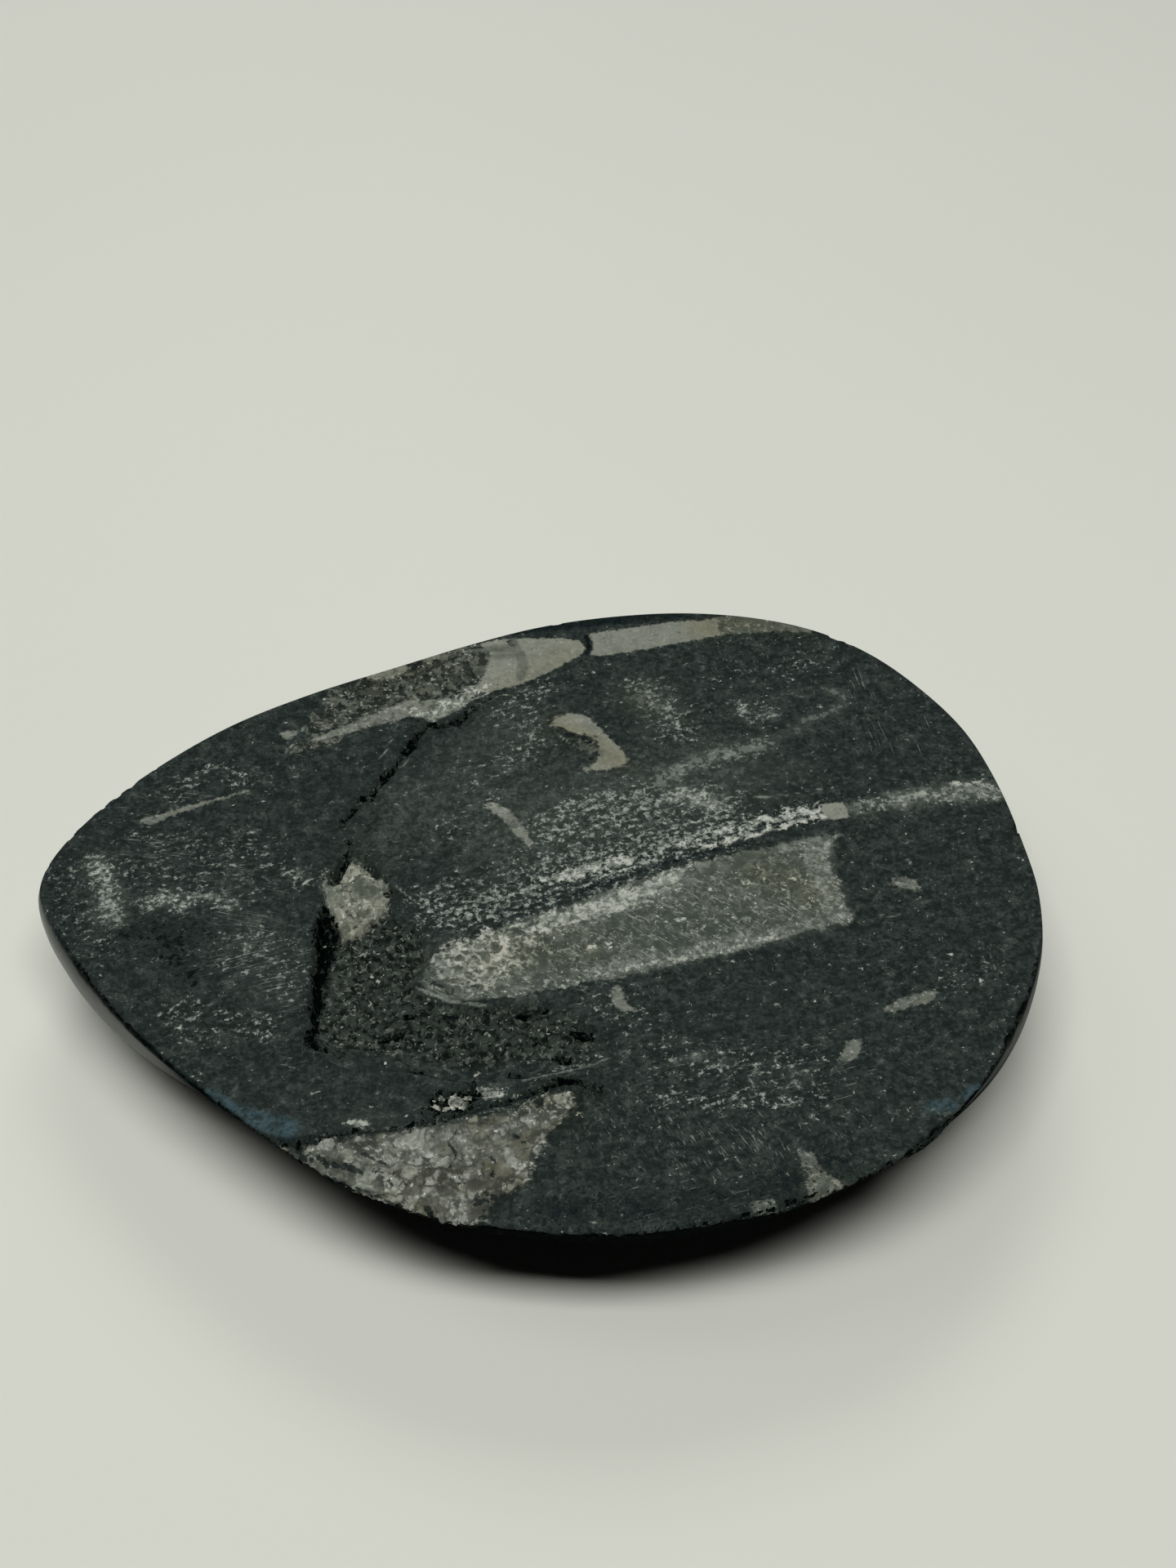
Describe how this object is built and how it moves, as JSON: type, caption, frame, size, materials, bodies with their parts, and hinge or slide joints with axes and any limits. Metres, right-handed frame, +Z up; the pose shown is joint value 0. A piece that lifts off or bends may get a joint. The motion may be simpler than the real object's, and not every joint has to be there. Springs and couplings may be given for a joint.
{
  "type": "orthoceras fossil",
  "caption": "Teardrop pebble of dark limestone, ground flat on top and domed below, with a sawn orthocone shell, calcite veins, a broken crystal-lined hollow and a chipped rim.",
  "frame": {"origin": "on the surface that the stone lies on, under the middle of its box", "axes": "+Z up, out of the ground face; +X from the pointed end towards the round end; +Y towards the long edge that carries the broad calcite band"},
  "size_m": [0.102, 0.0809, 0.015],
  "materials": {
    "fossil_limestone": "dark green-grey limestone with pale grey-beige and cream calcite fossils: satin scratched ground face, glossier polished side and underside"
  },
  "bodies": {
    "root": {"fossil_stone": "fossil_limestone"}
  },
  "joints": []
}
